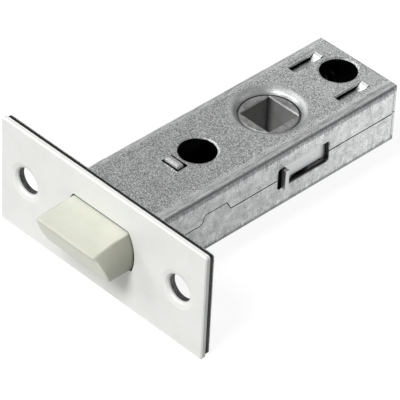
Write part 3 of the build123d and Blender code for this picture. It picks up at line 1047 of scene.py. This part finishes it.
@dataclass(frozen=True)
class SoftEdges:
    """Takes the sharpness off a moulded piece: its skin is rebuilt in small cells and eased."""

    merge: float = 0.0005 * MM
    cell: float = 0.22 * MM
    passes: int = 5
    strength: float = 0.5

    def make(self, node: str, material: bpy.types.Material) -> bpy.types.Object:
        """Make the eased copy of a CAD node.

        Args:
            node: the node's name.
            material: the copy's finish.

        Returns:
            The copy, which still has to take the node's place.
        """
        source = frame["nodes"][node]
        shell = bmesh.new()
        shell.from_mesh(source.data)
        shell.transform(source.matrix_world)
        bmesh.ops.remove_doubles(shell, verts=shell.verts, dist=self.merge)
        points = [tuple(corner.co) for corner in shell.verts]
        shell.verts.index_update()
        faces = [[corner.index for corner in face.verts] for face in shell.faces]
        shell.free()
        plain = bpy.data.meshes.new(node + "_plain")
        plain.from_pydata(points, [], faces)
        carrier = bpy.data.objects.new(node + "_carrier", plain)
        bpy.context.scene.collection.objects.link(carrier)
        cells = carrier.modifiers.new("cells", "REMESH")
        cells.mode = "VOXEL"
        cells.voxel_size = self.cell
        cells.use_smooth_shade = True
        ease = carrier.modifiers.new("ease", "SMOOTH")
        ease.factor = self.strength
        ease.iterations = self.passes
        graph = bpy.context.evaluated_depsgraph_get()
        mesh = bpy.data.meshes.new_from_object(carrier.evaluated_get(graph))
        mesh.name = node + "_soft"
        bpy.data.objects.remove(carrier)
        mesh.materials.clear()
        mesh.materials.append(material)
        piece = bpy.data.objects.new(node + "_soft", mesh)
        bpy.context.scene.collection.objects.link(piece)
        return piece


@dataclass
class LatchBolt:
    """The moulded bolt, its edges eased as they come from the mould."""

    nylon: MouldedNylon = field(default_factory=MouldedNylon)
    edges: SoftEdges = field(default_factory=SoftEdges)

    def build(self) -> None:
        """Make the bolt in the place of its CAD solid."""
        piece = self.edges.make("latch_bolt", self.nylon.material())
        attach(piece, "bolt")
        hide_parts("latch_bolt")
        log.info("made %s with %d faces", piece.name, len(piece.data.polygons))


@dataclass
class Mechanism:
    """The hub and the carriage that it pushes."""

    zinc: CastZinc = field(default_factory=CastZinc)
    steel: PlatedCarriage = field(default_factory=PlatedCarriage)

    def build(self) -> None:
        """Dress the hub and the carriage."""
        dress("hub", self.zinc.material())
        dress("carriage", self.steel.material())


class CoilTree:
    """Geometry Nodes tree of a compression spring: a coil about Z with closed end turns."""

    wire_sides: int = 10
    closing: float = 0.8

    def __init__(self) -> None:
        """Build the tree with its named inputs."""
        self.tree = bpy.data.node_groups.new("coil_spring", "GeometryNodeTree")
        face = self.tree.interface
        for name, kind in (
            ("Length", "NodeSocketFloat"),
            ("Radius", "NodeSocketFloat"),
            ("Wire", "NodeSocketFloat"),
            ("Turns", "NodeSocketFloat"),
            ("Steps", "NodeSocketInt"),
            ("Finish", "NodeSocketMaterial"),
        ):
            face.new_socket(name=name, in_out="INPUT", socket_type=kind)
        face.new_socket(name="Geometry", in_out="OUTPUT", socket_type="NodeSocketGeometry")
        self._wire()

    def _node(self, kind: str, settings: Settings, inputs: Inputs) -> bpy.types.Node:
        """Add one node.

        Args:
            kind: the node's type.
            settings: its own settings.
            inputs: values or links for its input sockets.

        Returns:
            The new node.
        """
        made = self.tree.nodes.new(kind)
        for name, setting in settings.items():
            setattr(made, name, setting)
        for key, feed in inputs.items():
            if isinstance(feed, bpy.types.NodeSocket):
                self.tree.links.new(feed, made.inputs[key])
            else:
                made.inputs[key].default_value = feed
        return made

    def _math(self, operation: str, first: Any, second: Any) -> bpy.types.NodeSocket:
        """Add a Math node and return its value."""
        settings = {"operation": operation}
        return self._node("ShaderNodeMath", settings, {0: first, 1: second}).outputs[0]

    def _wire(self) -> None:
        """Lay the nodes out: a spiral, its end turns drawn together, and a round wire along it."""
        source = self.tree.nodes.new("NodeGroupInput").outputs
        span = self._math("SUBTRACT", source["Length"], source["Wire"])
        spiral = self._node(
            "GeometryNodeCurveSpiral",
            {},
            {
                "Resolution": source["Steps"],
                "Rotations": source["Turns"],
                "Start Radius": source["Radius"],
                "End Radius": source["Radius"],
                "Height": span,
            },
        )
        along = self._node("GeometryNodeSplineParameter", {}, {}).outputs["Factor"]
        end_share = self._math("DIVIDE", 1.0, source["Turns"])
        rest_share = self._math("SUBTRACT", 1.0, end_share)
        eased = self._node(
            "ShaderNodeMapRange",
            {"clamp": True},
            {
                "Value": along,
                "From Min": end_share,
                "From Max": rest_share,
                "To Min": 0.0,
                "To Max": 1.0,
            },
        ).outputs["Result"]
        closing = self._math("MULTIPLY", self._math("SUBTRACT", eased, along), self.closing)
        lift = self._math("MULTIPLY", closing, span)
        shift = self._node("ShaderNodeCombineXYZ", {}, {"Z": lift}).outputs["Vector"]
        moved = self._node(
            "GeometryNodeSetPosition", {}, {"Geometry": spiral.outputs["Curve"], "Offset": shift}
        )
        half_wire = self._math("MULTIPLY", source["Wire"], 0.5)
        ring = self._node(
            "GeometryNodeCurvePrimitiveCircle",
            {"mode": "RADIUS"},
            {"Resolution": self.wire_sides, "Radius": half_wire},
        )
        wire = self._node(
            "GeometryNodeCurveToMesh",
            {},
            {
                "Curve": moved.outputs["Geometry"],
                "Profile Curve": ring.outputs["Curve"],
                "Fill Caps": True,
            },
        ).outputs["Mesh"]
        smooth = self._node("GeometryNodeSetShadeSmooth", {}, {"Geometry": wire}).outputs[0]
        real = self._node("GeometryNodeRealizeInstances", {}, {"Geometry": smooth}).outputs[0]
        dressed = self._node(
            "GeometryNodeSetMaterial", {}, {"Geometry": real, "Material": source["Finish"]}
        )
        sink = self.tree.nodes.new("NodeGroupOutput")
        self.tree.links.new(dressed.outputs["Geometry"], sink.inputs["Geometry"])

    def make(self, name: str, values: Mapping[str, Any]) -> bpy.types.Object:
        """Run the tree once and keep its result as a plain mesh.

        Args:
            name: the new object's name.
            values: the tree's inputs by name.

        Returns:
            A mesh object at the origin, with its coil along Z from 0.
        """
        carrier = bpy.data.objects.new(name + "_carrier", bpy.data.meshes.new(name + "_carrier"))
        bpy.context.scene.collection.objects.link(carrier)
        modifier = carrier.modifiers.new("coil", "NODES")
        modifier.node_group = self.tree
        for item in self.tree.interface.items_tree:
            if item.in_out == "INPUT":
                modifier[item.identifier] = values[item.name]
        graph = bpy.context.evaluated_depsgraph_get()
        mesh = bpy.data.meshes.new_from_object(carrier.evaluated_get(graph))
        mesh.name = name
        bpy.data.objects.remove(carrier)
        piece = bpy.data.objects.new(name, mesh)
        bpy.context.scene.collection.objects.link(piece)
        return piece


@dataclass
class CompressionSpring:
    """One spring of the latch, built at its rest length."""

    node: str
    joint: str
    wire: float
    turns: float
    still_end: SpringEnd
    slot: str = "spring_wire"
    body: str = "case"
    steps_a_turn: int = 26

    def travel(self) -> float:
        """How far the spring's moving end goes, in metres."""
        joint = next(joint for joint in frame["joints"] if joint["name"] == self.joint)
        return joint["range_m"][1]

    def build(self, tree: CoilTree, material: bpy.types.Material) -> None:
        """Make the coil in the place of its CAD solid.

        Args:
            tree: the coil's node tree.
            material: its finish.
        """
        low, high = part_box(self.node)
        length = high[1] - low[1]
        values = {
            "Length": length,
            "Radius": (high[0] - low[0] - self.wire) / 2.0,
            "Wire": self.wire,
            "Turns": self.turns,
            "Steps": self.steps_a_turn,
            "Finish": material,
        }
        piece = tree.make(self.node + "_coil", values)
        middle = ((low[0] + high[0]) / 2.0, low[1] + self.wire / 2.0, (low[2] + high[2]) / 2.0)
        turned = Matrix.Rotation(-math.pi / 2.0, 4, "X")
        piece.data.transform(Matrix.Translation(middle) @ turned)
        piece.data.materials.clear()
        piece.data.materials.append(material)
        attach(piece, self.body)
        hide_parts(self.node)
        (length - self.travel()) / length
        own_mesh(piece)
        log.info("made %s, %.1f mm long", piece.name, length / MM)


@dataclass
class SpringSet:
    """The bolt's spring and the two return springs."""

    wire: SpringWire = field(default_factory=SpringWire)
    springs: tuple[CompressionSpring, ...] = (
        CompressionSpring("bolt_spring", "bolt_slide", 0.7 * MM, 9, SpringEnd.REAR),
        CompressionSpring("return_spring_left", "carriage_slide", 0.6 * MM, 9, SpringEnd.REAR),
        CompressionSpring("return_spring_right", "carriage_slide", 0.6 * MM, 9, SpringEnd.REAR),
    )

    def build(self) -> None:
        """Make all three springs."""
        tree = CoilTree()
        material = self.wire.material()
        for spring in self.springs:
            spring.build(tree, material)


@dataclass(frozen=True)
class PhotoCamera:
    """The camera as fitted to the photograph."""

    azimuth: float = 44.065
    elevation: float = 39.026
    roll: float = 2.954
    distance: float = 666.784 * MM
    shift_right: float = -12.647 * MM
    shift_up: float = -12.696 * MM
    focal_pixels: float = 3373.06
    sensor: float = 36.0
    nearest: float = 0.01
    farthest: float = 20.0

    def build(self) -> None:
        """Make the scene's camera."""
        turn, lift, tilt = map(math.radians, (self.azimuth, self.elevation, self.roll))
        level = math.cos(lift)
        back = Vector((math.sin(turn) * level, -math.cos(turn) * level, math.sin(lift)))
        right = Vector((math.cos(turn), math.sin(turn), 0.0))
        up = back.cross(right)
        view_right = math.cos(tilt) * right + math.sin(tilt) * up
        view_up = math.cos(tilt) * up - math.sin(tilt) * right
        data = bpy.data.cameras.new("photo_camera")
        data.sensor_width = self.sensor
        data.lens = self.focal_pixels / PHOTO_WIDTH * self.sensor
        data.clip_start = self.nearest
        data.clip_end = self.farthest
        camera = bpy.data.objects.new("photo_camera", data)
        bpy.context.scene.collection.objects.link(camera)
        axes = Matrix((view_right, view_up, back)).transposed().to_4x4()
        place = back * self.distance + right * self.shift_right + up * self.shift_up
        camera.matrix_world = Matrix.Translation(place) @ axes
        bpy.context.scene.camera = camera


@dataclass(frozen=True)
class SoftLamp:
    """One square area lamp that faces the latch or a place beside it, mirrored by metal or not."""

    name: str
    towards: tuple[float, float, float]
    distance: float
    size: float
    radiance: float
    aim: tuple[float, float, float] = (0.0, 0.0, 0.0)
    mirrored: bool = True

    def build(self) -> None:
        """Make the lamp."""
        data = bpy.data.lights.new(self.name, "AREA")
        data.shape = "SQUARE"
        data.size = self.size
        data.energy = self.radiance * math.pi * self.size**2
        lamp = bpy.data.objects.new(self.name, data)
        bpy.context.scene.collection.objects.link(lamp)
        direction = Vector(self.towards).normalized()
        lamp.rotation_mode = "QUATERNION"
        lamp.rotation_quaternion = direction.to_track_quat("Z", "Y")
        lamp.location = Vector(self.aim) + direction * self.distance
        lamp.visible_glossy = self.mirrored


@dataclass
class Studio:
    """Floor, lamps, surrounding light and camera."""

    paper: StudioPaper = field(default_factory=StudioPaper)
    air: StudioAir = field(default_factory=StudioAir)
    floor_half_size: float = 3.0
    lamps: tuple[SoftLamp, ...] = (
        SoftLamp("key_lamp", (0.10, -0.62, 0.78), 0.9, 0.34, 7.5),
        SoftLamp("key_fill", (0.10, -0.62, 0.78), 0.9, 0.28, 16.4, mirrored=False),
        SoftLamp("dish_card", (-0.54, 0.0, 0.84), 1.0, 0.30, 2.2),
        SoftLamp("ramp_card", (-0.54, -0.60, 0.54), 1.0, 0.26, 3.2),
        SoftLamp("top_panel", (-0.50, -0.05, 0.86), 1.0, 0.62, 0.55),
        SoftLamp("left_panel", (-0.60, -0.58, 0.55), 1.0, 0.40, 3.0),
        SoftLamp("side_panel", (-0.88, 0.10, 0.45), 1.0, 0.50, 1.2),
        SoftLamp("right_panel", (0.63, 0.56, 0.54), 1.0, 0.50, 0.5),
        SoftLamp("rear_card", (-0.54, 0.56, 0.63), 0.16, 0.10, 0.6, (0.0, 0.070, 0.0)),
    )

    def floor(self, height: float) -> None:
        """Lay the floor.

        Args:
            height: its height, in metres.
        """
        half = self.floor_half_size
        rim = [(x * half, y * half, height) for x, y in ((-1, -1), (1, -1), (1, 1), (-1, 1))]
        mesh = bpy.data.meshes.new("floor")
        mesh.from_pydata(rim, [], [(0, 1, 2, 3)])
        mesh.materials.append(self.paper.material())
        floor = bpy.data.objects.new("floor", mesh)
        bpy.context.scene.collection.objects.link(floor)
        floor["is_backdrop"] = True

    def build(self) -> None:
        """Build the whole studio round the latch."""
        low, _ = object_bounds()
        self.floor(low[2])
        self.air.build()
        for lamp in self.lamps:
            lamp.build()
        PhotoCamera().build()
        bpy.context.scene.view_settings.view_transform = "Standard"


def main() -> None:
    """Dress the latch, add its springs, and set it in the studio."""
    logging.basicConfig(level=logging.INFO, format="%(name)s: %(message)s")
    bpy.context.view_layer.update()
    for assembly in (FacePlates(), FoldedCase(), LatchBolt(), Mechanism(), SpringSet()):
        assembly.build()
    Studio().build()


if __name__ == "__main__":
    main()
